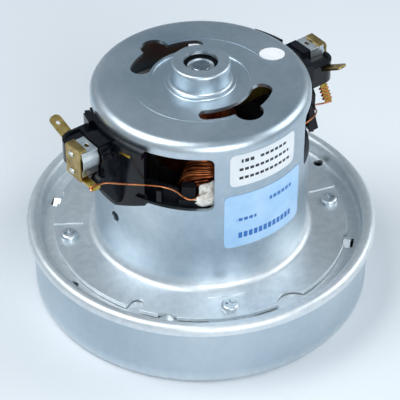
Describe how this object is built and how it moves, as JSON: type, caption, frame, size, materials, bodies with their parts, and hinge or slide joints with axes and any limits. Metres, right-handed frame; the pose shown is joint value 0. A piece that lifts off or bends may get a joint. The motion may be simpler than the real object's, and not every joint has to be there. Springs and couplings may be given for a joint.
{
  "type": "universal motor",
  "caption": "Universal motor of a vacuum cleaner: a drawn steel can on a through-flow fan stage, with a brush holder and blade terminal on each side, bearing boss on top and air inlet below.",
  "frame": {"origin": "centre of the air inlet's mouth, in the plane of the fan cover's flat bottom", "axes": "+Z along the shaft from the inlet to the bearing boss, +X along the brush axis towards the right brush holder"},
  "size_m": [0.136, 0.136, 0.1003],
  "materials": {
    "cover_steel": "satin",
    "bracket_steel": "satin",
    "can_steel": "satin",
    "screw_steel": "bright zinc",
    "sleeve_plastic": "matte",
    "lamination_steel": "matte",
    "field_copper": "enamelled copper",
    "lead_copper": "enamelled copper",
    "armature_copper": "varnished copper",
    "frame_plastic": "matte",
    "insulation_fibre": "matte",
    "diffuser_plastic": "matte",
    "bearing_steel": "ground",
    "shield_steel": "satin",
    "shaft_steel": "ground",
    "commutator_copper": "turned copper",
    "commutator_resin": "moulded resin",
    "impeller_aluminium": "pressed",
    "white_label_paper": "matte",
    "blue_label_film": "satin",
    "white_sticker_paper": "matte",
    "tube_brass": "drawn brass",
    "holder_plastic": "moulded thermoset",
    "clip_steel": "nickel plated",
    "cap_brass": "rolled brass",
    "terminal_brass": "rolled brass",
    "tab_brass": "rolled brass",
    "spring_steel": "drawn",
    "carbon": "sintered carbon"
  },
  "bodies": {
    "housing": {"fan_cover": "cover_steel", "bearing_bracket": "bracket_steel", "motor_can": "can_steel", "flange_screws": "screw_steel", "stator_screws": "screw_steel", "stator_sleeves": "sleeve_plastic", "stator_core": "lamination_steel", "field_coil_back": "field_copper", "field_coil_front": "field_copper", "field_winding_back": "field_copper", "field_winding_front": "field_copper", "coil_frame_upper": "frame_plastic", "coil_frame_lower": "frame_plastic", "coil_insulation": "insulation_fibre", "diffuser": "diffuser_plastic", "wave_washer": "screw_steel", "upper_bearing_outer_ring": "bearing_steel", "upper_bearing_shields": "shield_steel", "lower_bearing_outer_ring": "bearing_steel", "lower_bearing_shields": "shield_steel", "white_label": "white_label_paper", "blue_label": "blue_label_film", "oval_sticker": "white_sticker_paper", "brush_tube_left": "tube_brass", "brush_holder_left": "holder_plastic", "brush_clip_left": "clip_steel", "brush_cap_left": "cap_brass", "blade_terminal_left": "terminal_brass", "lead_tab_left": "tab_brass", "field_lead_left": "lead_copper", "brush_spring_left": "spring_steel", "brush_tube_right": "tube_brass", "brush_holder_right": "holder_plastic", "brush_clip_right": "clip_steel", "brush_cap_right": "cap_brass", "blade_terminal_right": "terminal_brass", "lead_tab_right": "tab_brass", "field_lead_right": "lead_copper", "brush_spring_right": "spring_steel"},
    "rotor": {"shaft": "shaft_steel", "armature_core": "lamination_steel", "armature_winding": "armature_copper", "armature_spacer": "sleeve_plastic", "commutator_bars": "commutator_copper", "commutator_hub": "commutator_resin", "fan_spacer": "screw_steel", "fan_washer_lower": "screw_steel", "fan_washer_upper": "screw_steel", "fan_nut": "screw_steel", "impeller_front_plate": "impeller_aluminium", "impeller_back_plate": "impeller_aluminium", "impeller_vanes": "impeller_aluminium", "upper_bearing_inner_ring": "bearing_steel", "lower_bearing_inner_ring": "bearing_steel"},
    "brush_left": {"carbon_brush_left": "carbon"},
    "brush_right": {"carbon_brush_right": "carbon"},
    "upper_balls": {"upper_bearing_balls": "bearing_steel"},
    "lower_balls": {"lower_bearing_balls": "bearing_steel"}
  },
  "joints": [
    {"name": "rotor_spin", "type": "hinge", "parent": "housing", "child": "rotor", "pos_m": [0, 0, 0.05], "axis": [0, 0, 1], "continuous": true},
    {"name": "upper_balls_spin", "type": "hinge", "parent": "housing", "child": "upper_balls", "pos_m": [0, 0, 0.0949], "axis": [0, 0, 1], "continuous": true},
    {"name": "lower_balls_spin", "type": "hinge", "parent": "housing", "child": "lower_balls", "pos_m": [0, 0, 0.0199], "axis": [0, 0, 1], "continuous": true},
    {"name": "brush_left_slide", "type": "slide", "parent": "housing", "child": "brush_left", "axis": [-1, 0, 0], "range_m": [0, 0.008], "stiffness_N_per_m": 120, "springref_m": -0.012, "deforming": ["brush_spring_left"]},
    {"name": "brush_right_slide", "type": "slide", "parent": "housing", "child": "brush_right", "axis": [1, 0, 0], "range_m": [0, 0.008], "stiffness_N_per_m": 120, "springref_m": -0.012, "deforming": ["brush_spring_right"]}
  ],
  "couplings": [
    {"joint": "upper_balls_spin", "follows": "rotor_spin", "ratio": 0.3479},
    {"joint": "lower_balls_spin", "follows": "rotor_spin", "ratio": 0.3686}
  ]
}
